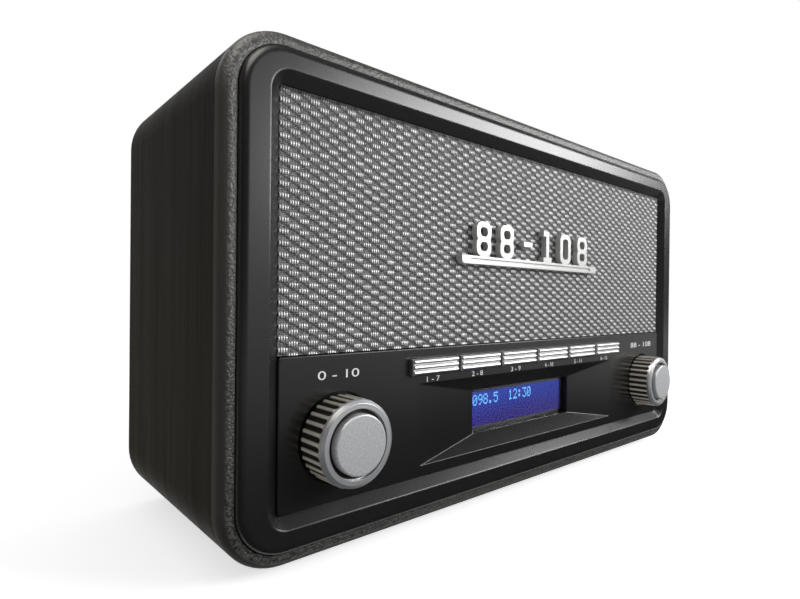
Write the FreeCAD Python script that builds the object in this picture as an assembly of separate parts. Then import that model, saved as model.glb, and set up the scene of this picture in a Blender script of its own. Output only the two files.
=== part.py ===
import FreeCAD
import Part
import math
import os

# Tabletop radio with two drivers behind a cloth front, a button row, two knobs and a display.
# Every piece is built in the face frame: x to the right, y from the trim's front face towards
# the back, z up from the cabinet's mid height. save() then moves it to the row frame, whose
# origin is the middle of the footprint, on the surface that the feet stand on.
# Lengths are in millimetres.

# Cabinet
cabinet_width = 280.0
cabinet_height = 155.0
cabinet_depth = 90.0
cabinet_corner = 19.5
wall = 9.0
rear_edge_round = 1.2
trim_depth = 5.0
trim_edge_round = 2.9
trim_ring = 4.4
cleat_side = 14.0
cleat_length = 20.0
foot_radius = 8.0
foot_height = 3.0
foot_inset = 25.0
foot_front = 16.0
foot_rear = 16.0
foot_recess = 1.2
foot_round = 1.0

# Clearances
fit_gap = 0.25
seam_gap = 0.12
running_gap = 0.05
thread_gap = 0.05
seat_gap = 0.1
overcut = 1.0

# Bezel: the band between the textured trim and the front opening
bezel_proud = 2.0
bezel_edge_round = 2.6
side_band = 8.9
top_band = 7.0
lip_corner = 7.0
lip_round = 0.45
slope_run = 3.8
slope_end = 0.9
opening_corner = 1.5
bezel_hole_end = 0.6

# Grille
cloth_front = 0.7
cloth_thickness = 0.8
grille_corner = 1.0
grille_rail = 9.0
baffle_thickness = 6.0
baffle_overlap = 6.0
baffle_screw_share = 0.6
speaker_margin = 4.4
speaker_side = 50.0

# Driver: its flange's radius is set by the grille, and these are shares of that radius
driver_hole_share = 0.86
driver_seat_share = 0.80
driver_cone_share = 0.68
driver_coil_share = 0.22
driver_depth_share = 0.38
magnet_share = 0.56
magnet_depth_share = 0.30
pole_share = 0.46
pole_depth_share = 0.06
basket_plate = 2.0
basket_wall = 1.1
cone_paper = 0.9
dome_paper = 0.6
surround_bead = 0.8
cone_slope_share = 0.7
dome_share = 1.25
dome_rise_share = 0.36
driver_screw_head = 2.0
driver_screw_length = 6.0

# Badge on the cloth: a bar with plain dial numbers standing on it
badge_half = 48.3
badge_rise = 30.95
bar_height = 3.2
badge_proud = 2.7
bar_corner = 1.5
badge_post = 1.2
badge_post_x = 5.0
badge_post_short = 1.2
groove_depth = 0.5
groove_height = 1.1
groove_end = 5.0
figure_height = 13.5
figure_width = 8.6
figure_stroke = 2.1
figure_pitch = 14.3
figure_corner_share = 0.7
figure_arm_share = 0.7
badge_text = "88-108"

# Control panel
panel_height = 46.1
panel_skin = 2.4
panel_round = 0.4
panel_corner = 1.4
skirt = 2.0
flange_reach = 6.0
flange_thickness = 2.0
panel_screw_length = 5.0
panel_screw_share = 0.6

# Knobs and encoders
knob_side = 21.0
knob_rise = 19.9
knob_radius = 13.4
knob_shoulder = 1.3
knob_length = 11.0
knob_base = 0.5
knob_edge = 0.6
knob_crown = 2.0
knob_crown_rise = 0.7
knob_wall = 2.4
knob_ring = 1.5
knob_face = 2.2
cap_radius = 9.2
cap_proud = 1.5
cap_seat = 1.2
cap_round = 0.6
flute_count = 30
flute_radius = 1.2
flute_depth = 0.68
flute_end = 2.4
well_gap = 1.0
well_depth = 1.9
well_floor = 2.1
well_wall = 1.6
shaft_radius = 3.0
shaft_front = 9.6
hub_wall = 2.2
hub_start = 4.2
bushing_wall = 0.7
bushing_front = 3.0
nut_across = 10.0
nut_height = 2.0
encoder_side = 12.6
encoder_back = 0.5
shaft_short = 2.4
plunger_thickness = 0.8
plunger_less = 0.2
press_travel = 0.8

# Buttons
button_count = 6
button_gap = 1.5
button_height = 5.8
button_proud = 2.7
button_end = 0.35
button_end_depth = 0.4
rib_share = 0.42
row_margin = 14.9
row_drop = 6.7
rib_count = 3
stop_height = 1.0
stop_thickness = 1.0
stem_radius = 1.6
stem_engaged = 1.0
switch_side = 6.0
switch_height = 4.0
switch_spare = 0.3
button_travel = 0.8

# Display
mouth_inset = 5.1
mouth_top = 12.8
mouth_height = 29.2
window_half = 34.4
window_top = 19.0
window_height = 17.6
hopper_depth = 4.5
throat_depth = 1.8
hopper_wall = 2.2
hopper_corner = 0.6
pane_thickness = 1.0
pane_margin = 2.6
pane_corner = 1.0
module_half = 36.0
module_height = 24.0
module_depth = 5.4
view_half = 32.6
view_height = 14.2
view_corner = 0.5
can_wall = 0.8
mask_thickness = 0.5
glass_thickness = 2.0
glass_less = 0.2

# Boards
board_thickness = 1.6
control_board_margin = 4.0
board_post = 2.8
board_gap = 8.4
standoff_height = 5.0
standoff_radius = 3.0
board_post_side = 4.0
board_screw_length = 6.0
main_board_half = 82.0
post_inset = 6.0
standoff_floor = 1.0
jack_pitch = 32.0
jack_side = 9.0
jack_body = 12.0
jack_nose = 3.9
audio_bore = 1.8
power_bore = 3.1
power_pin = 1.0
power_pin_short = 3.0
bore_depth = 13.0
capacitor_count = 3
capacitor_radius = 5.0
capacitor_height = 13.0
capacitor_gap = 1.5
capacitor_round = 0.8
tuner_half_width = 18.0
tuner_half_depth = 12.0
tuner_height = 4.0
sink_half_width = 12.0
sink_half_depth = 8.0
sink_height = 14.0
sink_base = 3.0
sink_slots = 5
sink_slot = 2.8
sink_pitch = 4.8

# Screws
screw_radius = 1.5
screw_head = 2.8
screw_head_height = 1.8
screw_length = 9.0
screw_spare = 0.5
recess_arm_share = 0.55
recess_slot_share = 0.14

# Rear
cover_thickness = 3.0
cover_recess = 2.0
cover_gap = 0.3
cover_round = 0.8
vent_count = 9
vent_pitch = 6.0
vent_width = 2.4
vent_height = 30.0
vent_drop = 10.0

# Antenna
antenna_side = 31.0
antenna_drop = 19.5
antenna_lift = 0.5
tube_radius = 3.5
tube_wall = 0.5
tube_length = 140.0
tube_step = 2.0
tube_count = 4
tube_overlap = 28.0
section_stagger = 1.5
slide_gap = 0.1
elbow_reach = 10.0
elbow_plug = 4.0
elbow_less = 0.3
elbow_shoulder = 0.8
blade_thickness = 3.2
ear_thickness = 1.7
hinge_gap = 0.1
hinge_pin = 1.2
fork_radius = 6.0
fork_plate = 1.9
stub_radius = 2.5
stub_reach = 3.0
clip_width = 2.5
clip_thickness = 1.2
clip_gap = 0.2
tip_radius = 3.2
tip_length = 5.0
tip_round = 1.0

# Stations that follow from the sizes above
half_width = cabinet_width / 2
half_height = cabinet_height / 2
opening_half = half_width - trim_ring - side_band - slope_run
opening_rise = half_height - trim_ring - top_band - slope_run
inner_half = half_width - wall
inner_rise = half_height - wall
inner_corner = cabinet_corner - wall
cover_front = cabinet_depth - cover_recess - cover_thickness
cover_back = cabinet_depth - cover_recess
baffle_front = trim_depth
baffle_back = baffle_front + baffle_thickness
panel_top = -opening_rise + panel_height
panel_low = -opening_rise + seam_gap
grille_mid = (opening_rise + panel_top) / 2
grille_half_height = (opening_rise - panel_top) / 2
knob_x = opening_half - knob_side
knob_z = -opening_rise + knob_rise
well_radius = knob_radius + well_gap
row_half = knob_x - well_radius - row_margin
row_z = panel_top - row_drop
button_length = (2 * row_half - (button_count - 1) * button_gap) / button_count
window_z = panel_top - window_top - window_height / 2
pane_front = hopper_depth + throat_depth
module_front = pane_front + pane_thickness + seat_gap
control_board_front = module_front + module_depth + seat_gap
control_board_back = control_board_front + board_thickness
board_low = -inner_rise + standoff_height
board_top = board_low + board_thickness
main_board_front = control_board_back + board_gap
main_board_back = cover_front - jack_side / 2
jack_z = board_top + jack_side / 2
antenna_x = half_width - antenna_side
antenna_z = half_height - antenna_drop
antenna_y = cabinet_depth + tube_radius + antenna_lift
bushing_radius = shaft_radius + bushing_wall
encoder_front = well_depth + well_floor
shaft_back = control_board_front - shaft_short
bar_z = grille_mid - grille_half_height + badge_rise + bar_height / 2
badge_front = cloth_front - badge_proud
cloth_back = cloth_front + cloth_thickness
slot_half = button_height / 2 + fit_gap
driver_x = opening_half - speaker_side
driver_radius = grille_half_height - speaker_margin
driver_hole = driver_radius * driver_hole_share
screw_ring = (driver_radius + driver_hole) / 2
vent_z = grille_mid - vent_drop
tube_travel = tube_length - tube_overlap

# The overall box, which sets where the row frame's origin lies
front_reach = knob_length + cap_proud
rear_reach = antenna_y + tube_radius
shift = FreeCAD.Vector(0, (front_reach - rear_reach) / 2, half_height + foot_height)

ALONG_Y = FreeCAD.Vector(0, 1, 0)
ALONG_Z = FreeCAD.Vector(0, 0, 1)
ALONG_X = FreeCAD.Vector(1, 0, 0)


def point(x, y, z):
    return FreeCAD.Vector(x, y, z)


def box(x0, x1, y0, y1, z0, z1):
    return Part.makeBox(x1 - x0, y1 - y0, z1 - z0, point(x0, y0, z0))


def rod(x, z, radius, y0, y1):
    """A round bar along y."""
    return Part.makeCylinder(radius, y1 - y0, point(x, y0, z), ALONG_Y)


def tube(x, z, outer, inner, y0, y1):
    return rod(x, z, outer, y0, y1).cut(rod(x, z, inner, y0, y1))


def rounded_wire(half_w, half_h, corner, y, mid_z=0.0):
    """A rounded rectangle facing the front, drawn from the same corner so that two can be lofted."""
    edges = []
    for sx, sz, start in ((1, 1, 0), (-1, 1, 90), (-1, -1, 180), (1, -1, 270)):
        centre = point(sx * (half_w - corner), y, mid_z + sz * (half_h - corner))
        spots = []
        for turn in (0, 45, 90):
            angle = math.radians(start + turn)
            spots.append(centre + point(corner * math.cos(angle), 0, corner * math.sin(angle)))
        if edges:
            edges.append(Part.makeLine(edges[-1].Vertexes[-1].Point, spots[0]))
        edges.append(Part.Arc(*spots).toShape())
    edges.append(Part.makeLine(edges[-1].Vertexes[-1].Point, edges[0].Vertexes[0].Point))
    return Part.Wire(edges)


def rounded_block(half_w, half_h, corner, y0, y1, mid_z=0.0):
    face = Part.Face(rounded_wire(half_w, half_h, corner, y0, mid_z))
    return face.extrude(point(0, y1 - y0, 0))


def turned(outline, x, z):
    """Turns (radius, y) points round the axis along y through (x, z)."""
    spots = [point(x + radius, y, z) for radius, y in outline]
    face = Part.Face(Part.makePolygon(spots + spots[:1]))
    return face.revolve(point(x, 0, z), ALONG_Y, 360)


def edges_at(shape, y, inside=None, outside=None):
    """The edges that lie flat at y, optionally only those within or beyond a half width and half height."""
    found = []
    for edge in shape.Edges:
        bounds = edge.BoundBox
        if abs(bounds.YMin - y) > 1e-4 or abs(bounds.YMax - y) > 1e-4:
            continue
        reach_x = max(abs(bounds.XMin), abs(bounds.XMax))
        reach_z = max(abs(bounds.ZMin), abs(bounds.ZMax))
        within = inside and reach_x <= inside[0] + 1e-4 and reach_z <= inside[1] + 1e-4
        beyond = outside and (reach_x >= outside[0] - 1e-4 or reach_z >= outside[1] - 1e-4)
        if (inside is None or within) and (outside is None or beyond):
            found.append(edge)
    return found


def screw(x, z, head_at, towards, length=screw_length):
    """A pan-head screw along y. head_at is the face that the head bears on, and towards is its way in."""
    head = rod(x, z, screw_head, *sorted((head_at, head_at - towards * screw_head_height)))
    rim = edges_at(head, head_at - towards * screw_head_height)
    head = head.makeFillet(screw_head_height * 0.4, rim)
    deep = head_at - towards * screw_head_height / 2
    top = head_at - towards * (screw_head_height + overcut)
    arm = screw_head * recess_arm_share
    slot = screw_head * recess_slot_share
    for half_x, half_z in ((arm, slot), (slot, arm)):
        y0, y1 = sorted((deep, top))
        head = head.cut(box(x - half_x, x + half_x, y0, y1, z - half_z, z + half_z))
    shank = rod(x, z, screw_radius, *sorted((head_at, head_at + towards * length)))
    return head.fuse(shank).removeSplitter()


def pilot(x, z, head_at, towards, length=screw_length):
    """The hole that a screw's shank goes in."""
    end = head_at + towards * (length + screw_spare)
    return rod(x, z, screw_radius + thread_gap, *sorted((head_at, end)))


def save(name, *shapes):
    """Moves a node's solids to the row frame and writes them."""
    solids = []
    for shape in shapes:
        solids.extend(shape.Solids)
    for solid in solids:
        if not solid.isValid() or solid.Volume <= 0:
            raise ValueError(name + " is not a sound solid")
    joined = solids[0] if len(solids) == 1 else Part.makeCompound(solids)
    joined = joined.copy()
    joined.translate(shift)
    joined.exportStep("parts/" + name + ".step")


# Where screws go

def front_screw_spots():
    """The screws that hold the baffle and the control panel to the bezel's back."""
    side = opening_half + flange_reach / 2
    top = inner_rise - fit_gap - screw_head
    low = grille_mid - grille_half_height * baffle_screw_share
    baffle = [(sx * side, z) for sx in (-1, 1) for z in (low, grille_mid)]
    baffle += [(sx * opening_half / 2, top) for sx in (-1, 1)]
    panel = [(sx * side, knob_z) for sx in (-1, 1)]
    panel += [(sx * opening_half * panel_screw_share, -top) for sx in (-1, 1)]
    return baffle, panel


def control_board_spots():
    side = row_half + row_margin / 2
    low = -opening_rise + skirt + board_post + 2
    return [(sx * side, dz) for sx in (-1, 1) for dz in (row_z, low)]


def cleat_spots():
    side = inner_half - cleat_side / 2
    rise = inner_rise - cleat_side / 2
    return [(sx * side, sz * rise) for sx in (-1, 1) for sz in (-1, 1)]


def standoff_spots():
    front = main_board_front + post_inset
    back = main_board_back - post_inset
    side = main_board_half - post_inset
    return [(sx * side, y) for sx in (-1, 1) for y in (front, back)]


def foot_spots():
    side = half_width - foot_inset
    return [(sx * side, y) for sx in (-1, 1) for y in (foot_front, cabinet_depth - foot_rear)]


# Cabinet

def cabinet_shell():
    """The cabinet's wrapped box, open at the front and back, with seats for the feet."""
    outer = rounded_block(half_width, half_height, cabinet_corner, trim_depth, cabinet_depth)
    outer = outer.makeFillet(rear_edge_round, edges_at(outer, cabinet_depth))
    inner = rounded_block(inner_half, inner_rise, inner_corner, trim_depth, cabinet_depth)
    shell = outer.cut(inner)
    for x, y in foot_spots():
        shell = shell.cut(Part.makeCylinder(foot_radius + fit_gap, foot_recess, point(x, y, -half_height)))
    return shell


def inner_room():
    """The space inside the cabinet, less a fitting clearance."""
    half_w, half_h = inner_half - fit_gap, inner_rise - fit_gap
    return rounded_block(half_w, half_h, inner_corner - fit_gap, trim_depth, cabinet_depth)


def trim_frame():
    """The textured frame round the front edge."""
    outer = rounded_block(half_width, half_height, cabinet_corner, 0, trim_depth)
    outer = outer.makeFillet(trim_edge_round, edges_at(outer, 0))
    reach = trim_ring - seam_gap
    hole = rounded_block(half_width - reach, half_height - reach, cabinet_corner - reach, 0, trim_depth)
    return outer.cut(hole)


def cleats():
    """The corner blocks that the rear cover is screwed to."""
    inner = rounded_block(inner_half, inner_rise, inner_corner, trim_depth, cabinet_depth)
    made = []
    half = cleat_side / 2
    for x, z in cleat_spots():
        block = box(x - half, x + half, cover_front - cleat_length, cover_front, z - half, z + half)
        made.append(block.common(inner).cut(pilot(x, z, cover_back, -1, screw_length + cover_thickness)))
    return made


def foot(x, y):
    """A rubber foot, let into the cabinet's underside."""
    pad = Part.makeCylinder(foot_radius, foot_height + foot_recess, point(x, y, -half_height - foot_height))
    low = [e for e in pad.Edges if abs(e.BoundBox.ZMax + half_height + foot_height) < 1e-4]
    return pad.makeFillet(foot_round, low)


# Bezel, grille and badge

def bezel():
    """The satin band that stands proud of the trim and slopes in to the front opening."""
    half_w = half_width - trim_ring
    half_h = half_height - trim_ring
    ring = rounded_block(half_w, half_h, cabinet_corner - trim_ring, -bezel_proud, trim_depth)
    ring = ring.makeFillet(bezel_edge_round, edges_at(ring, -bezel_proud))
    lip = (half_w - side_band, half_h - top_band)
    slope = Part.makeLoft([
        rounded_wire(lip[0], lip[1], lip_corner, -bezel_proud),
        rounded_wire(opening_half, opening_rise, opening_corner, slope_end),
    ], True, True)
    ring = ring.cut(slope)
    ring = ring.cut(rounded_block(opening_half, opening_rise, opening_corner, slope_end, trim_depth))
    ring = ring.makeFillet(lip_round, edges_at(ring, -bezel_proud, inside=lip))
    for spots in front_screw_spots():
        for x, z in spots:
            ring = ring.cut(rod(x, z, screw_radius + thread_gap, bezel_hole_end, trim_depth))
    return ring


def grille_cloth():
    half_h = grille_half_height - fit_gap / 2
    half_w = opening_half - fit_gap
    cloth = rounded_block(half_w, half_h, grille_corner, cloth_front, cloth_back, grille_mid)
    for sx in (-1, 1):
        cloth = cloth.cut(rod(sx * badge_post_x, bar_z, badge_post + fit_gap, cloth_front, cloth_back))
    return cloth


def grille_frame():
    half_h = grille_half_height - fit_gap / 2
    half_w = opening_half - fit_gap
    frame = rounded_block(half_w, half_h, grille_corner, cloth_back, baffle_front, grille_mid)
    window = half_h - grille_rail
    middle = (half_w - grille_rail) / 2
    for sx in (-1, 1):
        centre = sx * (middle + grille_rail / 2)
        reach = middle - grille_rail / 2
        low, high = grille_mid - window, grille_mid + window
        frame = frame.cut(box(centre - reach, centre + reach, cloth_back, baffle_front, low, high))
        frame = frame.cut(rod(sx * badge_post_x, bar_z, badge_post + fit_gap, cloth_back, baffle_front))
    return frame


def speaker_baffle():
    low = panel_top + fit_gap + skirt
    high = opening_rise + baffle_overlap
    reach = opening_half + baffle_overlap
    board = box(-reach, reach, baffle_front, baffle_back, low, high).common(inner_room())
    for sx in (-1, 1):
        board = board.cut(rod(sx * driver_x, grille_mid, driver_hole, baffle_front, baffle_back))
    for x, z in front_screw_spots()[0]:
        board = board.cut(rod(x, z, screw_radius + fit_gap, baffle_front, baffle_back))
    for x, z in driver_screw_spots():
        board = board.cut(pilot(x, z, baffle_back, -1, driver_screw_length - driver_screw_head))
    return board


def ring_stroke(centre, low, high, y0, y1):
    """A rounded loop of even stroke, which the dial numbers are made of."""
    half_w, half_h = figure_width / 2, (high - low) / 2
    middle = (low + high) / 2
    outer = rounded_block(half_w, half_h, half_w * figure_corner_share, y0, y1, middle)
    inner_w, inner_h = half_w - figure_stroke, half_h - figure_stroke
    made = outer.cut(rounded_block(inner_w, inner_h, inner_w * figure_corner_share, y0, y1, middle))
    made.translate(point(centre, 0, 0))
    return made


def figure(character, centre, foot_z, y0, y1):
    """One raised character of the dial range, standing at foot_z."""
    top = foot_z + figure_height
    stroke = figure_stroke
    arm = figure_width / 2 * figure_arm_share
    middle = (foot_z + top) / 2
    if character == "-":
        return box(centre - arm, centre + arm, y0, y1, middle - stroke / 2, middle + stroke / 2)
    if character == "0":
        return ring_stroke(centre, foot_z, top, y0, y1)
    if character == "1":
        stem = box(centre - stroke / 2, centre + stroke / 2, y0, y1, foot_z, top)
        flag = box(centre - arm, centre, y0, y1, top - stroke, top)
        base = box(centre - arm, centre + arm, y0, y1, foot_z, foot_z + stroke)
        return stem.fuse([flag, base])
    upper = ring_stroke(centre, middle - stroke / 2, top, y0, y1)
    return upper.fuse(ring_stroke(centre, foot_z, middle + stroke / 2, y0, y1))


def badge():
    """A bar with a groove, two posts into the grille frame, and the dial range standing on it."""
    half = bar_height / 2
    bar = box(-badge_half, badge_half, badge_front, cloth_front, bar_z - half, bar_z + half)
    low_left = [e for e in bar.Edges if e.BoundBox.YLength > 1e-4
                and e.BoundBox.XMax < 0 and e.BoundBox.ZMax < bar_z]
    bar = bar.makeFillet(bar_corner, low_left)
    reach = badge_half - groove_end
    low, high = bar_z - groove_height / 2, bar_z + groove_height / 2
    outline = [(-reach, low), (reach - groove_height, low), (reach, bar_z), (reach - groove_height, high),
               (-reach, high), (-reach, low)]
    groove = Part.Face(Part.makePolygon([point(x, badge_front, z) for x, z in outline]))
    bar = bar.cut(groove.extrude(point(0, groove_depth, 0)))
    for k, character in enumerate(badge_text):
        centre = (k - (len(badge_text) - 1) / 2) * figure_pitch
        bar = bar.fuse(figure(character, centre, bar_z + half, badge_front, cloth_front))
    for sx in (-1, 1):
        post_end = baffle_front - badge_post_short
        bar = bar.fuse(rod(sx * badge_post_x, bar_z, badge_post, cloth_front, post_end))
    return bar.removeSplitter()


# Drivers

def driver_screw_spots():
    spots = []
    for sx in (-1, 1):
        for k in range(4):
            angle = math.radians(45 + 90 * k)
            across, up = screw_ring * math.cos(angle), screw_ring * math.sin(angle)
            spots.append((sx * driver_x + across, grille_mid + up))
    return spots


def basket(x, z, r, y):
    """The driver's pressed frame, open between its four legs."""
    back = y + r * driver_depth_share
    plate, coil = basket_plate, r * driver_coil_share + basket_plate
    bend = screw_ring - screw_head - fit_gap
    made = turned([
        (r * driver_seat_share, y), (r, y), (r, y + plate), (bend, y + plate), (r * 0.52, back),
        (r * magnet_share, back), (r * magnet_share, back + plate), (coil, back + plate),
        (coil, back + plate / 5), (r * 0.46, back + plate / 5), (bend - basket_wall, y + plate * 1.1),
        (r * driver_seat_share, y + plate * 1.1),
    ], x, z)
    for k in range(4):
        slot = box(x + r * 0.50, x + r * 0.84, y + plate * 1.5, back - plate / 2, z - r * 0.2, z + r * 0.2)
        slot.rotate(point(x, 0, z), ALONG_Y, 90 * k)
        made = made.cut(slot)
    for hole_x, hole_z in driver_screw_spots():
        if (hole_x - x) ** 2 + (hole_z - z) ** 2 < r ** 2:
            made = made.cut(rod(hole_x, hole_z, screw_radius + fit_gap, y, y + plate))
    return made


def surround(x, z, r, y):
    """The rubber roll between the cone's rim and the basket."""
    seat, cone_rim = r * driver_seat_share, r * driver_cone_share
    roll, half_roll = (seat + cone_rim) / 2, (seat - cone_rim) / 2
    skin = half_roll * 0.35
    ring = Part.makeTorus(roll, half_roll, point(x, y, z), ALONG_Y)
    ring = ring.cut(Part.makeTorus(roll, half_roll - skin, point(x, y, z), ALONG_Y))
    ring = ring.cut(box(x - r, x + r, y, y + r, z - r, z + r))
    land = (seat + driver_hole) / 2
    ring = ring.fuse(tube(x, z, land, seat - skin, y - surround_bead, y))
    return ring.fuse(tube(x, z, cone_rim + skin, cone_rim - skin, y - surround_bead, y)).removeSplitter()


def cone(x, z, r, y):
    rim, coil, depth = r * driver_cone_share, r * driver_coil_share, r * driver_depth_share
    neck = y + depth * cone_slope_share
    return turned([
        (rim, y), (rim - cone_paper, y), (coil - dome_paper, neck), (coil - dome_paper, y + depth),
        (coil, y + depth), (coil, neck + cone_paper / 2),
    ], x, z)


def dust_cap(x, z, r, y):
    """A shallow dome seated on the cone's slope."""
    coil = r * driver_coil_share - dome_paper
    mouth = r * driver_cone_share - cone_paper
    rim = r * driver_coil_share * dome_share
    rise = rim * dome_rise_share
    radius = (rim ** 2 + rise ** 2) / (2 * rise)
    rim_y = y + r * driver_depth_share * cone_slope_share * (mouth - rim) / (mouth - coil) - seat_gap
    centre = point(x, rim_y - rise + radius, z)
    dome = Part.makeSphere(radius, centre).cut(Part.makeSphere(radius - dome_paper, centre))
    return dome.common(rod(x, z, rim, rim_y - rise - overcut, rim_y))


def magnet(x, z, r, y):
    front = y + r * driver_depth_share + basket_plate
    back = front + r * magnet_depth_share
    ring = rod(x, z, r * magnet_share, front, back)
    ring = ring.makeFillet(dome_paper, edges_at(ring, front) + edges_at(ring, back))
    return ring.fuse(rod(x, z, r * pole_share, back, back + r * pole_depth_share)).removeSplitter()


# Control panel

def hopper(grow, start, end, mouth_half, mouth_low, mouth_high):
    """The sloping recess that leads to the display, or with grow above 0 the skin behind it."""
    low, high = window_z - window_height / 2 - grow, window_z + window_height / 2 + grow
    tall, mid = (mouth_high - mouth_low) / 2, (mouth_high + mouth_low) / 2
    front = rounded_wire(mouth_half, tall, hopper_corner, start, mid)
    back = rounded_wire(window_half + grow, (high - low) / 2, hopper_corner, end, (high + low) / 2)
    return Part.makeLoft([front, back], True, True)


def control_panel():
    low, high = panel_low, panel_top - fit_gap / 2
    half = opening_half - seam_gap
    back = baffle_front + flange_thickness
    body = rounded_block(half, (high - low) / 2, panel_corner, 0, back, (low + high) / 2)
    body = body.makeFillet(panel_round, edges_at(body, 0))
    reach = opening_half + flange_reach
    flange = box(-reach, reach, baffle_front, back, -opening_rise - flange_reach, high)
    body = body.fuse(flange.common(inner_room()))
    body = body.cut(box(-half + skirt, half - skirt, panel_skin, back, low + skirt, high - skirt))
    mouth_high = panel_top - mouth_top
    mouth_low = mouth_high - mouth_height
    mouth_half = row_half - mouth_inset
    skin = panel_skin / 2
    body = body.fuse(hopper(hopper_wall, skin, pane_front, mouth_half, mouth_low + skin, mouth_high - skin))
    for x in (-knob_x, knob_x):
        body = body.fuse(rod(x, knob_z, well_radius + well_wall, skin, encoder_front))
    for x, z in control_board_spots():
        body = body.fuse(rod(x, z, board_post, skin, control_board_front))
        body = body.cut(pilot(x, z, control_board_back, -1, board_screw_length + screw_spare))
    for x in (-knob_x, knob_x):
        body = body.cut(rod(x, knob_z, well_radius, -overcut, well_depth))
        body = body.cut(rod(x, knob_z, bushing_radius + fit_gap, -overcut, encoder_front))
    body = body.cut(hopper(0, 0, hopper_depth, mouth_half, mouth_low, mouth_high))
    window = rounded_block(window_half, window_height / 2, hopper_corner, hopper_depth, pane_front, window_z)
    body = body.cut(window)
    wide = row_half + fit_gap
    body = body.cut(box(-wide, wide, -overcut, panel_skin, row_z - slot_half, row_z + slot_half))
    room = slot_half + stop_height + fit_gap
    body = body.cut(box(-wide, wide, panel_skin, control_board_front, row_z - room, row_z + room))
    for x, z in front_screw_spots()[1]:
        body = body.cut(rod(x, z, screw_radius + fit_gap, baffle_front, back))
    return body.removeSplitter()


# Buttons and switches

def button(number):
    """A fluted bar on a stem. Its stop flange bears on the panel's back."""
    left = -row_half + number * (button_length + button_gap)
    right = left + button_length
    low = row_z - button_height / 2
    rib = button_height / rib_count
    depth = rib * rib_share
    valley = -button_proud + depth
    edges = [Part.makeLine(point(left, panel_skin, low), point(left, valley, low))]
    for k in range(rib_count):
        base = low + k * rib
        crest = point(left, -button_proud, base + rib / 2)
        edges.append(Part.Arc(point(left, valley, base), crest, point(left, valley, base + rib)).toShape())
    top = low + button_height
    edges.append(Part.makeLine(point(left, valley, top), point(left, panel_skin, top)))
    edges.append(Part.makeLine(point(left, panel_skin, top), point(left, panel_skin, low)))
    bar = Part.Face(Part.Wire(edges)).extrude(point(button_length, 0, 0))
    for end, way in ((left, 1), (right, -1)):
        ahead = -button_proud - overcut
        corner = [(end - way, ahead), (end + way * (button_end + overcut), ahead),
                  (end - way, valley + button_end_depth + overcut)]
        wedge = Part.Face(Part.makePolygon([point(x, y, low) for x, y in corner + corner[:1]]))
        bar = bar.cut(wedge.extrude(point(0, 0, button_height)))
    stop = slot_half + stop_height
    start = panel_skin + seat_gap
    flange = box(left, right, start, start + stop_thickness, row_z - stop, row_z + stop)
    neck = box(left, right, panel_skin, start, low, top)
    stem_end = control_board_front - switch_height + stem_engaged
    stem = rod((left + right) / 2, row_z, stem_radius, start, stem_end)
    return bar.fuse([neck, flange, stem]).removeSplitter()


def tact_switches():
    made = []
    for k in range(button_count):
        x = -row_half + (k + 0.5) * button_length + k * button_gap
        half = switch_side / 2
        front = control_board_front - switch_height
        body = box(x - half, x + half, front, control_board_front, row_z - half, row_z + half)
        depth = stem_engaged + button_travel + switch_spare
        made.append(body.cut(rod(x, row_z, stem_radius + fit_gap, front, front + depth)))
    return made


# Knobs

def knob(x):
    """A fluted shell with a hub that grips the shaft, and a groove round its cap."""
    z, front = knob_z, -knob_length
    ring_out, inside = knob_radius - knob_shoulder, knob_radius - knob_wall
    hub = shaft_radius + hub_wall
    shell = turned([
        (0, front + knob_face), (0, front + cap_seat), (ring_out - knob_ring, front + cap_seat),
        (ring_out - knob_ring, front), (ring_out, front),
        (knob_radius - knob_shoulder / 4, front + knob_crown_rise), (knob_radius, front + knob_crown),
        (knob_radius, knob_base - knob_edge), (knob_radius - knob_edge, knob_base),
        (inside, knob_base), (inside, front + knob_face),
    ], x, z)
    shell = shell.fuse(rod(x, z, hub, front + knob_face, -hub_start))
    shell = shell.cut(rod(x, z, shaft_radius, -shaft_front, 0)).removeSplitter()
    centre = knob_radius + flute_radius - flute_depth
    end = front + flute_end
    cutter = rod(x + centre, z, flute_radius, end, knob_base + overcut)
    cutter = cutter.fuse(Part.makeSphere(flute_radius, point(x + centre, end, z)))
    cutters = []
    for k in range(flute_count):
        turned_cutter = cutter.copy()
        turned_cutter.rotate(point(x, 0, z), ALONG_Y, 360 * k / flute_count)
        cutters.append(turned_cutter)
    return shell.cut(Part.makeCompound(cutters))


def knob_cap(x):
    front = -knob_length - cap_proud
    disc = rod(x, knob_z, cap_radius, front, -knob_length + cap_seat)
    return disc.makeFillet(cap_round, edges_at(disc, front))


def shaft(x):
    return rod(x, knob_z, shaft_radius, -shaft_front, shaft_back)


def encoder(x):
    half = encoder_side / 2
    body = box(x - half, x + half, encoder_front, control_board_front, knob_z - half, knob_z + half)
    body = body.fuse(rod(x, knob_z, bushing_radius, -bushing_front, encoder_front))
    bore = rod(x, knob_z, shaft_radius + running_gap, -bushing_front, control_board_front - encoder_back)
    return body.cut(bore).removeSplitter()


def plunger(x):
    """The disc inside the tuning encoder that its shaft pushes."""
    start = shaft_back + running_gap
    return rod(x, knob_z, shaft_radius - plunger_less, start, start + plunger_thickness)


def encoder_nut(x):
    corner = nut_across / 2 / math.cos(math.pi / 6)
    front = well_depth - nut_height
    turns = [k * math.pi / 3 for k in range(7)]
    spots = [point(x + corner * math.cos(turn), front, knob_z + corner * math.sin(turn)) for turn in turns]
    body = Part.Face(Part.makePolygon(spots)).extrude(point(0, nut_height, 0))
    return body.cut(rod(x, knob_z, bushing_radius + running_gap, front, well_depth))


# Display and control board

def display_layer(margin, corner, start, end):
    """A plate as large as the display module, less a margin."""
    return rounded_block(module_half - margin, module_height / 2 - margin, corner, start, end, window_z)


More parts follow.
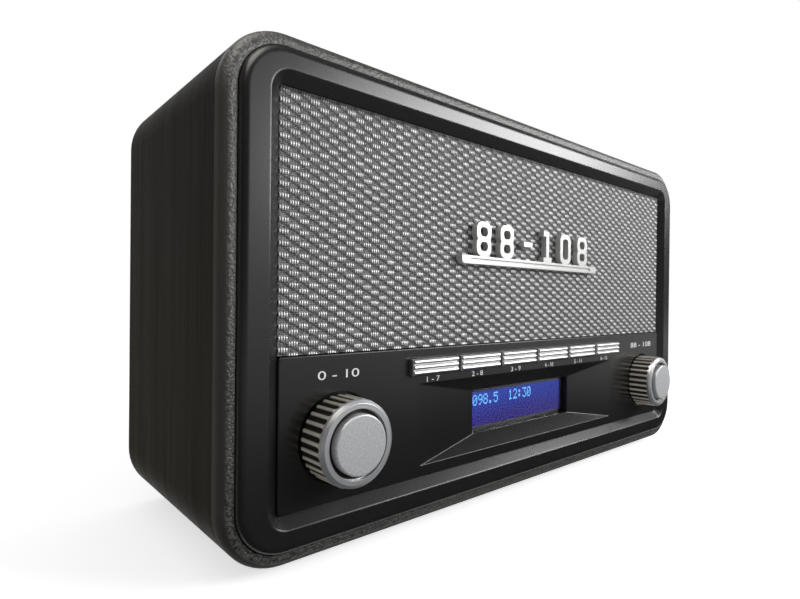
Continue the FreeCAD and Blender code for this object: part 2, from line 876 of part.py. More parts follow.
def display_window():
    half_w, half_h = window_half + pane_margin, window_height / 2 + pane_margin
    return rounded_block(half_w, half_h, pane_corner, pane_front, pane_front + pane_thickness, window_z)


def display_frame():
    """The metal can that holds the glass. Its front is a mask round the view."""
    back = module_front + module_depth
    can = display_layer(0, pane_corner, module_front, back)
    can = can.cut(rounded_block(view_half, view_height / 2, view_corner, module_front, back, window_z))
    return can.cut(display_layer(can_wall, view_corner, module_front + mask_thickness, back))


def display_glass():
    start = module_front + mask_thickness
    return display_layer(can_wall + glass_less, view_corner, start, start + glass_thickness)


def display_backlight():
    start = module_front + mask_thickness + glass_thickness + seat_gap
    return display_layer(can_wall + glass_less, view_corner, start, module_front + module_depth)


def control_board():
    half = opening_half - control_board_margin
    low = -opening_rise + skirt
    high = panel_top - skirt / 2
    board = box(-half, half, control_board_front, control_board_back, low, high)
    for x, z in control_board_spots():
        board = board.cut(rod(x, z, screw_radius + fit_gap, control_board_front, control_board_back))
    return board


# Main board

def upright_screw(x, y):
    head = Part.makeCylinder(screw_head, screw_head_height, point(x, y, board_top))
    shank = Part.makeCylinder(screw_radius, standoff_height, point(x, y, board_top - standoff_height))
    return head.fuse(shank).removeSplitter()


def main_board():
    board = box(-main_board_half, main_board_half, main_board_front, main_board_back, board_low, board_top)
    for x, y in standoff_spots():
        board = board.cut(Part.makeCylinder(screw_radius + fit_gap, board_thickness, point(x, y, board_low)))
    return board


def standoffs():
    made = []
    for x, y in standoff_spots():
        post = Part.makeCylinder(standoff_radius, standoff_height, point(x, y, -inner_rise))
        start = point(x, y, -inner_rise + standoff_floor)
        made.append(post.cut(Part.makeCylinder(screw_radius + thread_gap, standoff_height, start)))
    return made


def on_board(x, y, half_x, half_y, height):
    """A block that stands on the main board."""
    return box(x - half_x, x + half_x, y - half_y, y + half_y, board_top, board_top + height)


def board_components():
    """Capacitors, the tuner's shield can and the amplifier's finned heat sink."""
    made = []
    mid = (main_board_front + main_board_back) / 2
    for k in range(capacitor_count):
        x = main_board_half / 2 + (k - 1) * (2 * capacitor_radius + capacitor_gap)
        can = Part.makeCylinder(capacitor_radius, capacitor_height, point(x, mid, board_top))
        rim = [e for e in can.Edges if abs(e.BoundBox.ZMin - board_top - capacitor_height) < 1e-4]
        made.append(can.makeFillet(capacitor_round, rim))
    made.append(on_board(-main_board_half / 2, mid, tuner_half_width, tuner_half_depth, tuner_height))
    sink = on_board(0, mid, sink_half_width, sink_half_depth, sink_height)
    for k in range(sink_slots):
        x = (k - (sink_slots - 1) / 2) * sink_pitch
        slot = on_board(x, mid, sink_slot / 2, sink_half_depth, sink_height)
        slot.translate(point(0, 0, sink_base))
        sink = sink.cut(slot)
    made.append(sink)
    return made


def jack_x(place):
    return (place - 1) * jack_pitch


def jack(place, bore, pin=0.0):
    """A socket on the board's back edge. Its nose passes through the rear cover."""
    x, half = jack_x(place), jack_side / 2
    front, back = cover_front - jack_body, cover_front - fit_gap
    body = box(x - half, x + half, front, back, board_top, board_top + jack_side)
    nose = rod(x, jack_z, jack_nose, back, cover_back)
    made = body.fuse(nose).cut(rod(x, jack_z, bore, cover_back - bore_depth, cover_back))
    if pin:
        root = cover_back - bore_depth - pin
        made = made.fuse(rod(x, jack_z, pin, root, cover_back - power_pin_short))
    return made.removeSplitter()


# Rear cover

def vents():
    """Upright slots behind each driver."""
    made = []
    for side in (-1, 1):
        for k in range(vent_count):
            x = side * driver_x + (k - (vent_count - 1) / 2) * vent_pitch
            half_w, half_h = vent_width / 2, vent_height / 2
            slot = box(x - half_w, x + half_w, cover_front, cover_back, vent_z - half_h, vent_z + half_h)
            for end in (vent_z - half_h, vent_z + half_h):
                slot = slot.fuse(rod(x, end, half_w, cover_front, cover_back))
            made.append(slot)
    return made


def rear_cover():
    half_w, half_h = inner_half - cover_gap, inner_rise - cover_gap
    cover = rounded_block(half_w, half_h, inner_corner - cover_gap, cover_front, cover_back)
    cover = cover.makeFillet(cover_round, edges_at(cover, cover_back))
    holes = vents()
    holes += [rod(jack_x(place), jack_z, jack_nose + fit_gap, cover_front, cover_back) for place in range(3)]
    holes += [rod(x, z, screw_radius + fit_gap, cover_front, cover_back) for x, z in cleat_spots()]
    holes.append(rod(antenna_x, antenna_z, stub_radius + running_gap, cover_front, cover_back))
    return cover.cut(Part.makeCompound(holes))


# Antenna, stowed across the back with its tip towards -x

def hinge_rod(radius, half_length):
    """A round bar on the elbow's hinge axis."""
    return Part.makeCylinder(radius, 2 * half_length, point(antenna_x, antenna_y, antenna_z - half_length))


def antenna_fork():
    """A turntable on the rear cover with two ears for the elbow's blade."""
    x, z, y = antenna_x, antenna_z, antenna_y
    plate_front = cover_back + seat_gap
    plate_back = plate_front + fork_plate
    plate = rod(x, z, fork_radius, plate_front, plate_back)
    plate = plate.fuse(rod(x, z, stub_radius, cover_front - stub_reach, plate_front))
    near = blade_thickness / 2 + hinge_gap
    for side in (-1, 1):
        low, high = sorted((z + side * near, z + side * (near + ear_thickness)))
        ear = box(x - tube_radius, x + tube_radius, plate_back - fork_plate / 2, y, low, high)
        round_end = Part.makeCylinder(tube_radius, high - low, point(x, y, low))
        plate = plate.fuse(ear.fuse(round_end))
    return plate.cut(hinge_rod(hinge_pin, 2 * tube_radius)).removeSplitter()


def antenna_retainer():
    """The clip that keeps the fork's stub in the cover."""
    back = cover_front - clip_gap
    return tube(antenna_x, antenna_z, stub_radius + clip_width, stub_radius, back - clip_thickness, back)


def antenna_hinge_pin():
    return hinge_rod(hinge_pin, blade_thickness / 2 + hinge_gap + ear_thickness)


def along_rod(radius, start, end):
    """A round bar of the antenna, between two distances from the hinge."""
    return Part.makeCylinder(radius, end - start, point(antenna_x - end, antenna_y, antenna_z), ALONG_X)


def antenna_elbow():
    """The blade in the fork, and the plug that carries the first tube."""
    half = blade_thickness / 2
    eye_radius = tube_radius - elbow_less
    low, high = antenna_z - half, antenna_z + half
    near, far = antenna_y - eye_radius, antenna_y + eye_radius
    eye = hinge_rod(eye_radius, half)
    neck = box(antenna_x - elbow_reach / 2, antenna_x, near, far, low, high)
    body = eye.fuse([neck, along_rod(tube_radius, tube_radius + elbow_shoulder, elbow_reach)])
    body = body.fuse(along_rod(tube_radius - tube_wall, elbow_reach, elbow_reach + elbow_plug))
    return body.cut(hinge_rod(hinge_pin + running_gap, 2 * half)).removeSplitter()


def antenna_section(number):
    """Section 0 is the fixed outer tube, and the last is the thin rod with its tip."""
    outer = tube_radius - number * (tube_wall + slide_gap)
    start = elbow_reach
    if number > 0:
        start = elbow_reach + elbow_plug + number * section_stagger
    end = elbow_reach + tube_length + number * tube_step
    made = along_rod(outer, start, end)
    if number < tube_count - 1:
        return made.cut(along_rod(outer - tube_wall, start, end))
    tip = along_rod(tip_radius, end, end + tip_length)
    rims = [e for e in tip.Edges if e.BoundBox.XLength < 1e-4]
    return made.fuse(tip.makeFillet(tip_round, rims)).removeSplitter()


os.makedirs("parts", exist_ok=True)

save("cabinet_shell", cabinet_shell())
save("front_trim_frame", trim_frame())
save("corner_cleats", *cleats())
save("rubber_feet", *[foot(x, y) for x, y in foot_spots()])
save("front_bezel", bezel())
save("grille_cloth", grille_cloth())
save("grille_frame", grille_frame())
save("speaker_baffle", speaker_baffle())
save("front_badge", badge())
for side, word in ((-1, "left"), (1, "right")):
    place = (side * driver_x, grille_mid, driver_radius, baffle_back)
    save(word + "_speaker_basket", basket(*place))
    save(word + "_speaker_surround", surround(*place))
    save(word + "_speaker_cone", cone(*place))
places = [(side * driver_x, grille_mid, driver_radius, baffle_back) for side in (-1, 1)]
save("speaker_dust_caps", *[dust_cap(*place) for place in places])
save("speaker_magnets", *[magnet(*place) for place in places])
driver_screw_seat = baffle_back + basket_plate
driver_screws = [screw(x, z, driver_screw_seat, -1, driver_screw_length) for x, z in driver_screw_spots()]
save("speaker_screws", *driver_screws)
baffle_spots, panel_spots = front_screw_spots()
save("baffle_screws", *[screw(x, z, baffle_back, -1) for x, z in baffle_spots])
panel_back = baffle_front + flange_thickness
save("panel_screws", *[screw(x, z, panel_back, -1, panel_screw_length) for x, z in panel_spots])
save("control_panel", control_panel())
for number in range(button_count):
    save("button_" + str(number + 1), button(number))
save("tact_switches", *tact_switches())
for side, word in ((-1, "volume"), (1, "tuning")):
    save(word + "_knob", knob(side * knob_x))
    save(word + "_knob_cap", knob_cap(side * knob_x))
    save(word + "_shaft", shaft(side * knob_x))
    save(word + "_encoder", encoder(side * knob_x))
save("tuning_plunger", plunger(knob_x))
save("encoder_nuts", encoder_nut(-knob_x), encoder_nut(knob_x))
save("display_window", display_window())
save("display_frame", display_frame())
save("display_glass", display_glass())
save("display_backlight", display_backlight())
save("control_board", control_board())
save("main_board", main_board())
board_screws = [screw(x, z, control_board_back, -1, board_screw_length) for x, z in control_board_spots()]
board_screws += [upright_screw(x, y) for x, y in standoff_spots()]
save("board_screws", *board_screws)
save("board_standoffs", *standoffs())
save("board_components", *board_components())
save("power_jack", jack(0, power_bore, power_pin))
save("audio_in_jack", jack(1, audio_bore))
save("headphone_jack", jack(2, audio_bore))
save("rear_cover", rear_cover())
long_screw = screw_length + cover_thickness
save("rear_cover_screws", *[screw(x, z, cover_back, -1, long_screw) for x, z in cleat_spots()])
save("antenna_fork", antenna_fork())
save("antenna_retainer", antenna_retainer())
save("antenna_hinge_pin", antenna_hinge_pin())
save("antenna_elbow", antenna_elbow())
for number in range(tube_count):
    save("antenna_section_" + str(number + 1), antenna_section(number))
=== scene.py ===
import math

import bpy
import numpy as np
from mathutils import Matrix, Vector


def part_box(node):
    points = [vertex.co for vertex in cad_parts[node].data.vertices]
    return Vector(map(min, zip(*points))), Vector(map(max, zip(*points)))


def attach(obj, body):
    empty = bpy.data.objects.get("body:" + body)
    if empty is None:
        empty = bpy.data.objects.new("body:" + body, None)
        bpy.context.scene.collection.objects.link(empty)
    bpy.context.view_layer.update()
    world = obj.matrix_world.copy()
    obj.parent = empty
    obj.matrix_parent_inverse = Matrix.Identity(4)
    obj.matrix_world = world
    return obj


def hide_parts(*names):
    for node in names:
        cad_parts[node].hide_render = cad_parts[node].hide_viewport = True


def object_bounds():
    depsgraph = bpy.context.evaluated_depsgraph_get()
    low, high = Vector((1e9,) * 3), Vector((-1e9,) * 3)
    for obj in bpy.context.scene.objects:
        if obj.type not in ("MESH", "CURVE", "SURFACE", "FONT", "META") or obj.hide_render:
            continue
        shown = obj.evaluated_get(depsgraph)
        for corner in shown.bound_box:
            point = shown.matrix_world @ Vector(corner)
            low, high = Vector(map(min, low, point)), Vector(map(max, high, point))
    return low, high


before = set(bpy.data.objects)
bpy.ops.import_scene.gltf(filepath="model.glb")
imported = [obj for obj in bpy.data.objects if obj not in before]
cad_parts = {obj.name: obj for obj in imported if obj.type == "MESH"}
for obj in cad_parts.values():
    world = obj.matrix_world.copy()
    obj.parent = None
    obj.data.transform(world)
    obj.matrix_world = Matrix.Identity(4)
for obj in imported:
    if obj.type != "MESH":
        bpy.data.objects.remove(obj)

CAD_LOW, CAD_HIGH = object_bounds()
MM = 0.001
BODY = "cabinet"
WHITE = (1, 1, 1, 1)

# Heights above the table in millimetres: where the cloth is painted dark as the bezel's shadow, and
# where the trim's rounding changes from its painted shade to the pebbled look
CLOTH_SHADE = (141.4, 141.7)
TRIM_ROLL_FADE = (134, 148)

# Millimetres behind the trim's face in which its look changes to the painted shade on its rounding
TRIM_ROLL = (0.03, 0.4)

# A knob in millimetres: radii in which its face changes from painted shade to the ring, how far
# behind its face the fluted sides begin, and how far inside its rim the painted highlight fades out
CAP_GROOVE_SHADE = (10.3, 10.6)
FLUTES_START = (1.3, 2.2)
RIDGE_HIGHLIGHT_OUT, RIDGE_HIGHLIGHT_FULL = 0.5, 0.12

# A float's half length as a share of a repeat, how much shorter each thread beside the middle
# is, and the share over which a float dives
FLOAT_HALF = 0.22
FLOAT_STEP = 0.04
FLOAT_DIVE = 0.05

# The woven sheet's grid, and how much of its relief is the float's rise and its roundness
COLUMNS_PER_THREAD = 2
ROWS_PER_REPEAT = 9
RISE_SHARE = 0.65
ROUND_SHARE = 0.35

# From a button's middle down to the lower edge that can be seen, and how wide the figures are
BUTTONS = 6
BUTTON_HALF_HEIGHT = 2.9 * MM
BUTTON_FIGURES_WIDTH = 6.5 * MM
KNOB_FIGURES = (("volume", "0 - 10", 15.5 * MM), ("tuning", "88 - 108", 24 * MM))

# A capital's height as a share of its font's size
CAPITAL_SHARE = 0.7

# The display's first dot, in from the lit field's top left corner; a figure's columns of dots,
# the rows' extra height, how much of its place a dot fills, and how far it stands off the field
FIRST_DOT_IN = 4.4 * MM
FIRST_DOT_DOWN = 5.2 * MM
DOT_COLUMNS = 5
ROW_STRETCH = 1.12
DOT_FILL = 0.9
DOTS_BACK, DOTS_FRONT = 0.01 * MM, 0.06 * MM

# The stage: the camera's sensor and both fades are in millimetres, the rest in metres, degrees
# and watts. The ambient is how strongly the surroundings, which look white, light the radio.
SENSOR_WIDTH = 36
FLOOR_FADE = (250.0, 700.0)
TABLE_FADE = (-330.0, -85.0)
FLOOR_REACH = 20.0
AMBIENT = 0.5
KEY_AIM_HEIGHT = 0.08
KEY_AZIMUTH = 46.5
KEY_ELEVATION = 18.5
KEY_DISTANCE = 1.5
KEY_SIZE = (0.9, 0.38)
KEY_POWER = 16.8

bl_info = {
    "name": "Tabletop radio",
    "version": (1, 0, 0),
    "blender": (4, 5, 0),
    "location": "3D View > Sidebar > Radio",
    "description": "Finishes, grille cloth, display and printed figures of a radio, with its stage",
    "category": "Object",
}


# Shader maths

class Term:
    """One socket of a material's nodes, so that shader maths is written as an expression."""

    def __init__(self, paint, socket):
        self.paint = paint
        self.socket = socket

    def __add__(self, other):
        return self.paint.math("ADD", self, other)

    def __sub__(self, other):
        return self.paint.math("SUBTRACT", self, other)

    def __rsub__(self, other):
        return self.paint.math("SUBTRACT", other, self)

    def __mul__(self, other):
        return self.paint.math("MULTIPLY", self, other)

    def __truediv__(self, other):
        return self.paint.math("DIVIDE", self, other)

    def __pow__(self, other):
        return self.paint.math("POWER", self, other)

    def __lt__(self, other):
        return self.paint.math("LESS_THAN", self, other)

    def __gt__(self, other):
        return self.paint.math("GREATER_THAN", self, other)

    __radd__ = __add__
    __rmul__ = __mul__

    def floor(self):
        return self.paint.math("FLOOR", self)

    def fract(self):
        return self.paint.math("FRACT", self)

    def absolute(self):
        return self.paint.math("ABSOLUTE", self)

    def least(self, other):
        return self.paint.math("MINIMUM", self, other)

    def most(self, other):
        return self.paint.math("MAXIMUM", self, other)

    def ramp(self, low, high):
        """0 at low, 1 at high, and smooth between them."""
        node = self.paint.add(
            "ShaderNodeMapRange",
            {"interpolation_type": "SMOOTHSTEP"},
            {"Value": self, "From Min": low, "From Max": high},
        )
        return Term(self.paint, node.outputs["Result"])


class Paint:
    """A material: its nodes, and the one shader that they end in."""

    def __init__(self, name, sockets):
        self.material = bpy.data.materials.new(name)
        self.material.use_nodes = True
        self.tree = self.material.node_tree
        self.shader = self.tree.nodes["Principled BSDF"]
        for key, value in sockets.items():
            self.shader.inputs[key].default_value = value

    def add(self, kind, settings=None, sockets=None):
        """A node of one type, with its settings and then the values or links of its sockets."""
        node = self.tree.nodes.new(kind)
        for key, value in (settings or {}).items():
            setattr(node, key, value)
        for key, value in (sockets or {}).items():
            if isinstance(value, Term):
                self.tree.links.new(value.socket, node.inputs[key])
            else:
                node.inputs[key].default_value = value
        return node

    def math(self, operation, *values):
        """One step of shader maths."""
        node = self.add("ShaderNodeMath", {"operation": operation}, dict(enumerate(values)))
        return Term(self, node.outputs[0])

    def place(self, stretch=(1, 1, 1)):
        """The place on the object in millimetres, stretched along each axis."""
        spot = self.add("ShaderNodeTexCoord").outputs["Object"]
        sockets = {0: Term(self, spot), 1: tuple(s / MM for s in stretch)}
        node = self.add("ShaderNodeVectorMath", {"operation": "MULTIPLY"}, sockets)
        return Term(self, node.outputs[0])

    def axes(self):
        """The place's three coordinates in millimetres."""
        node = self.add("ShaderNodeSeparateXYZ", None, {0: self.place()})
        return [Term(self, output) for output in node.outputs]

    def noise(self, stretch, detail=2.0, roughness=0.5):
        """Noise from 0 to 1, whose stretch is its features per millimetre along each axis."""
        sockets = {
            "Vector": self.place(stretch), "Scale": 1.0, "Detail": detail, "Roughness": roughness,
        }
        return Term(self, self.add("ShaderNodeTexNoise", None, sockets).outputs[0])

    def cells(self, per_mm):
        """The distance to the nearest of scattered points."""
        sockets = {"Vector": self.place((per_mm,) * 3), "Scale": 1.0}
        node = self.add("ShaderNodeTexVoronoi", {"feature": "SMOOTH_F1"}, sockets)
        return Term(self, node.outputs["Distance"])

    def mix(self, share, first, second):
        """A colour between two."""
        sockets = {0: share, 6: self.colour(first), 7: self.colour(second)}
        return Term(self, self.add("ShaderNodeMix", {"data_type": "RGBA"}, sockets).outputs[2])

    def scaled(self, colour, share):
        """A colour made darker by a share."""
        sockets = {0: colour, "Scale": share}
        node = self.add("ShaderNodeVectorMath", {"operation": "SCALE"}, sockets)
        return Term(self, node.outputs[0])

    def colour(self, value):
        """A link as it is, or a colour with its fourth part."""
        return value if isinstance(value, Term) else (*value[:3], 1.0)

    def joined(self, kind, sockets):
        """The output of a node that makes or joins shaders."""
        return Term(self, self.add("ShaderNode" + kind, None, sockets).outputs[0])

    def set(self, socket, term):
        """Feeds one of the shader's sockets."""
        self.tree.links.new(term.socket, self.shader.inputs[socket])

    def rounded(self, radius):
        """A normal that rounds the sharp edges of the mesh."""
        node = self.add("ShaderNodeBevel", {"samples": 6}, {"Radius": radius})
        return Term(self, node.outputs[0])

    def relief(self, height, depth, strength=1.0, radius=0.0):
        """Bumps of the given depth in millimetres, over edges of the given radius."""
        sockets = {"Height": height, "Distance": depth * MM, "Strength": strength}
        if radius:
            sockets["Normal"] = self.rounded(radius * MM)
        self.set("Normal", Term(self, self.add("ShaderNodeBump", None, sockets).outputs[0]))


class Surroundings(Paint):
    """The world: its nodes, and the white background that they end in."""

    def __init__(self, name):
        self.world = bpy.data.worlds.new(name)
        self.world.use_nodes = True
        self.tree = self.world.node_tree
        self.shader = self.tree.nodes["Background"]
        self.shader.inputs["Color"].default_value = WHITE


# Finishes

def toned(look, factor):
    """A colour with each part multiplied, and none brighter than white."""
    return tuple(min(1.0, c * factor) for c in look)


def black_plastic(name, look, sheen=0.5, rough=0.36, pits=0.01, radius=0.25):
    """Moulded black plastic with a faint mist in its gloss."""
    paint = Paint(name, {"Specular IOR Level": sheen})
    mist = paint.noise((0.1, 0.1, 0.1), 2.0)
    fine = paint.noise((3.0, 3.0, 3.0), 2.0)
    paint.set("Base Color", paint.mix(mist, toned(look, 0.94), toned(look, 1.06)))
    paint.set("Roughness", rough - 0.01 + 0.02 * mist)
    paint.relief(fine, pits, radius=radius)
    return paint.material


def wood_wrap(finish):
    """Black wood-grain film, whose grain runs round the cabinet."""
    paint = Paint("black_wood_grain_wrap", {"Specular IOR Level": 0.1})
    streaks = paint.noise((0.02, 2.3, 0.02), 3.0, 0.6)
    bands = paint.noise((0.006, 0.22, 0.006), 2.0)
    pores = paint.noise((0.16, 3.4, 0.16), 1.0).ramp(0.66, 0.78)
    grain = (0.75 * streaks + 0.35 * bands).ramp(0.3, 0.8)
    film = paint.mix(grain, toned(finish.wrap, 0.88), toned(finish.wrap, 1.12))
    paint.set("Base Color", paint.mix(0.5 * pores, film, toned(finish.wrap, 1.45)))
    paint.set("Roughness", 0.5 + 0.16 * grain)
    paint.relief(streaks - 0.6 * pores, 0.05, 0.7)
    return paint.material


def pebbled_plastic(finish):
    """The trim's coarse leather-like texture, with painted shade on its rounding."""
    paint = Paint("pebbled_trim", {"Specular IOR Level": 1.0})
    pebbles = paint.cells(1.3)
    crumbs = paint.noise((2.0, 2.0, 2.0), 3.0, 0.6)
    height = (1 - pebbles) * 0.7 + crumbs * 0.6
    _, y, z = paint.axes()
    behind_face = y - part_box("front_trim_frame")[0].y / MM
    # Painted shade on the trim's rounding, except near the top: a darker copy of the wrap's colour
    rounding_shade = behind_face.ramp(*TRIM_ROLL) * (1 - z.ramp(*TRIM_ROLL_FADE))
    face = paint.mix(height.ramp(0.45, 0.95), toned(finish.trim, 0.3), toned(finish.trim, 2.6))
    paint.set("Base Color", paint.mix(rounding_shade, face, toned(finish.wrap, 0.6)))
    paint.set("Roughness", 0.47 - 0.12 * crumbs + 0.4 * rounding_shade)
    paint.relief(height * (1 - 0.8 * rounding_shade), 0.26)
    return paint.material


def satin_metal(name, look, rough=0.3, grain=0.9, depth=0.004, radius=0.2, metallic=1.0):
    """Blasted metal: fine grains that vary in brightness."""
    paint = Paint(name, {"Metallic": metallic})
    grains = paint.noise((grain, grain, grain), 4.0, 0.75)
    sparkle = grains.ramp(0.35, 0.65)
    paint.set("Base Color", paint.mix(sparkle, toned(look, 0.86), toned(look, 1.14)))
    paint.set("Roughness", rough - 0.04 + 0.08 * grains)
    paint.relief(grains, depth, radius=radius)
    return paint.material


def fluted_plating(finish):
    """Knob plating, painted shade in its hollows and round the cap, painted highlight on its ridge
    tops.
    """
    paint = Paint("knob_plating_painted_light", {})
    low, high = (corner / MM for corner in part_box("tuning_knob"))
    x, y, z = paint.axes()
    across = x.absolute() - (low.x + high.x) / 2
    up = z - (low.z + high.z) / 2
    radius = (across * across + up * up) ** 0.5
    rim = (high.z - low.z) / 2
    grains = paint.noise((1.5, 1.5, 1.5), 3.0, 0.7)
    flank = (y - low.y).ramp(*FLUTES_START)
    # Painted highlight on the ridge tops near the rim; painted shade in the fluted hollows and on
    # the face round the cap
    ridge = radius.ramp(rim - RIDGE_HIGHLIGHT_OUT, rim - RIDGE_HIGHLIGHT_FULL)
    groove_shade = 1 - radius.ramp(*CAP_GROOVE_SHADE)
    side = paint.mix(ridge, finish.flutes, finish.ridges)
    front = paint.mix(groove_shade, toned(finish.silver, 1.15), finish.flutes)
    dulled = (0.88 + 0.24 * grains).least(1.0)
    paint.set("Base Color", paint.scaled(paint.mix(flank, front, side), dulled))
    paint.set("Metallic", 0.8 - 0.45 * flank)
    paint.set("Roughness", 0.3 + 0.08 * grains)
    paint.relief(grains, 0.002, radius=0.15)
    return paint.material


def drawn_chrome(name, look, rough, stretch, radius=0.15, metallic=1.0):
    """Plated metal with faint lines along its drawing direction."""
    paint = Paint(name, {"Metallic": metallic})
    lines = paint.noise(stretch, 2.0)
    smudge = paint.noise((0.12, 0.12, 0.12), 3.0)
    paint.set("Base Color", paint.mix(smudge.ramp(0.3, 0.7), toned(look, 0.9), look))
    paint.set("Roughness", rough + 0.08 * lines)
    paint.relief(lines, 0.003, radius=radius)
    return paint.material


def soft_black(name, look, rough, per_mm, depth):
    """Rubber, paper pulp or painted board: dull, with a felt-like grain."""
    paint = Paint(name, {"Specular IOR Level": 0.25})
    grain = paint.noise((per_mm,) * 3, 4.0, 0.65)
    paint.set("Base Color", paint.mix(grain, toned(look, 0.7), toned(look, 1.3)))
    paint.set("Roughness", rough + 0.1 * grain)
    paint.relief(grain, depth)
    return paint.material


def circuit_board():
    """Solder mask over faint copper tracks."""
    paint = Paint("solder_mask", {"Specular IOR Level": 0.5, "Roughness": 0.3})
    x, y, z = paint.axes()
    tracks = ((x * 0.4).fract() < 0.4) * (((y + z) * 0.07).fract() < 0.8)
    paint.set("Base Color", paint.mix(tracks, (0.006, 0.06, 0.03), (0.012, 0.11, 0.05)))
    paint.relief(tracks, 0.03)
    return paint.material


def raw_wood():
    """Plain softwood of the corner cleats."""
    paint = Paint("cleat_softwood", {"Roughness": 0.7})
    rings = paint.noise((1.2, 0.08, 1.2), 2.0)
    paint.set("Base Color", paint.mix(rings, (0.36, 0.22, 0.11), (0.55, 0.38, 0.22)))
    paint.relief(rings, 0.05)
    return paint.material


def clear_acrylic():
    """The display's clear window."""
    paint = Paint("clear_acrylic", {
        "Base Color": (0.95, 0.97, 1.0, 1.0), "Transmission Weight": 1.0, "IOR": 1.12,
    })
    haze = paint.noise((0.1, 0.1, 0.1), 2.0)
    paint.set("Roughness", 0.02 + 0.02 * haze)
    return paint.material


def lit_panel(finish):
    """The lit cell: blue, paler towards its top left and violet along its foot."""
    paint = Paint("lit_display_cell", {
        "Base Color": (0.01, 0.012, 0.05, 1.0), "Emission Strength": 1.0, "Roughness": 0.35,
        "Specular IOR Level": 0.0,
    })
    x, _, z = paint.axes()
    low, high = (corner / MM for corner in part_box("display_glass"))
    across = (x - low.x) / (high.x - low.x)
    up = (z - low.z) / (high.z - low.z)
    ruling = 0.93 + 0.07 * ((x * 1.7).fract() < 0.8)
    field = paint.mix(up.ramp(0.2, 0.75), finish.lit_foot, finish.lit_field)
    field = paint.mix((up - 0.5 * across).ramp(0.1, 0.9), field, finish.lit_corner)
    paint.set("Emission Color", paint.scaled(field, ruling))
    return paint.material


def glow(name, look, strength):
    """A plastic that shines in one colour."""
    paint = Paint(name, {
        "Emission Color": (*look, 1.0), "Emission Strength": strength, "Roughness": 0.4,
    })
    speckle = paint.noise((3.0, 3.0, 3.0), 1.0)
    paint.set("Base Color", paint.mix(speckle, toned(look, 0.4), toned(look, 0.6)))
    return paint.material


def printed_ink(finish):
    """White screen print, slightly broken by the texture under it."""
    paint = Paint("white_print", {"Roughness": 0.6, "Specular IOR Level": 0.3})
    wear = paint.noise((4.0, 4.0, 4.0), 3.0)
    paint.set("Base Color", paint.mix(wear, toned(finish.ink, 0.85), finish.ink))
    return paint.material


def coat(material, *nodes):
    """Gives CAD nodes their finish."""
    for name in nodes:
        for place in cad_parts[name].material_slots:
            place.material = material


def nodes_like(*endings):
    """The CAD nodes whose names end in one of these."""
    return [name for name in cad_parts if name.endswith(endings)]


# Meshes

def mesh_object(name, vertices, faces, material, slot, body=BODY, smooth=False):
    """A piece made from vertices and faces, which rides on a body."""
    mesh = bpy.data.meshes.new(name)
    mesh.from_pydata([tuple(v) for v in vertices], [], [tuple(f) for f in faces])
    mesh.update()
    if smooth:
        mesh.shade_smooth()
    mesh.materials.append(material)
    piece = bpy.data.objects.new(name, mesh)
    bpy.context.collection.objects.link(piece)
    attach(piece, body)
    return piece


def slabs(rectangles, front, back):
    """Thin blocks from rectangles of low x, low z, high x and high z, as vertices and faces."""
    vertices, faces = [], []
    sides = ((0, 1, 2, 3), (7, 6, 5, 4), (0, 4, 5, 1), (1, 5, 6, 2), (2, 6, 7, 3), (3, 7, 4, 0))
    for x0, z0, x1, z1 in rectangles:
        start = len(vertices)
        for y in (front, back):
            vertices += [(x0, y, z0), (x1, y, z0), (x1, y, z1), (x0, y, z1)]
        faces += [tuple(start + corner for corner in side) for side in sides]
    return vertices, faces


# Sizes and colours a user can change

def length(name, description, millimetres):
    """A length that a user can change."""
    return bpy.props.FloatProperty(
        name=name, description=description, default=millimetres * MM, unit="LENGTH", precision=4
    )


def shade(name, description, value):
    """A colour that a user can change."""
    return bpy.props.FloatVectorProperty(
        name=name, description=description, default=value, subtype="COLOR", min=0, max=1
    )


def angle(name, description, degrees):
    """An angle that a user can change."""
    return bpy.props.FloatProperty(
        name=name, description=description, default=math.radians(degrees), subtype="ANGLE"
    )


class RadioFinish(bpy.types.PropertyGroup):
    """The colours of the radio's finishes."""

    wrap: shade("Wrap", "Wood-grain film on the cabinet", (0.0072, 0.0058, 0.003))
    trim: shade("Trim", "Pebbled frame round the front edge", (0.028, 0.027, 0.0245))
    bezel: shade("Bezel", "Satin band round the front", (0.0112, 0.0112, 0.0112))
    panel: shade("Panel", "Control panel", (0.0105, 0.0105, 0.0103))
    cover: shade("Rear cover", "Rear cover's plastic", (0.02, 0.02, 0.02))
    silver: shade("Silver", "Knobs and their caps", (0.55, 0.56, 0.58))
    # Painted shade for the knobs' fluted hollows and a painted highlight for their ridge tops
    flutes: shade("Flutes", "Shaded flutes of the knobs", (0.035, 0.03, 0.024))
    ridges: shade("Ridges", "Bright ridges of the knobs", (0.85, 0.8, 0.7))
    plate: shade("Badge", "Badge's satin plating", (0.62, 0.62, 0.61))
    chrome: shade("Chrome", "Buttons and aerial", (0.72, 0.72, 0.72))
    warp: shade("Warp", "Bright threads of the grille", (0.88, 0.88, 0.88))
    weft: shade("Weft", "Grey threads of the grille", (0.3, 0.3, 0.3))
    # Dark between the cloth's threads, and also the painted shadow along its top edge under the
    # bezel
    gap: shade("Thread gaps", "Dark between the threads", (0.012, 0.012, 0.014))
    lit_field: shade("Lit field", "Display's blue", (0.015, 0.029, 0.235))
    lit_corner: shade("Lit corner", "Display's paler corner", (0.03, 0.052, 0.33))
    lit_foot: shade("Lit foot", "Display's violet foot", (0.028, 0.016, 0.14))
    figures: shade("Figures", "Display's figures", (0.11, 0.42, 0.8))
    ink: shade("Ink", "Printed figures", (0.82, 0.82, 0.82))


class RadioWeave(bpy.types.PropertyGroup):
    """The grille cloth's weave."""

    pitch: length("Thread pitch", "From one upright thread to the next", 0.84)
    repeat: length("Repeat", "Height of one repeat of the floats", 3.45)
    drop: length("Drop", "How much lower each float of a cluster starts", 0.03)
    relief: length("Relief", "Depth of the threads", 0.42)
    cluster: bpy.props.IntProperty(
        name="Cluster", description="Threads that float side by side", default=4, min=2
    )


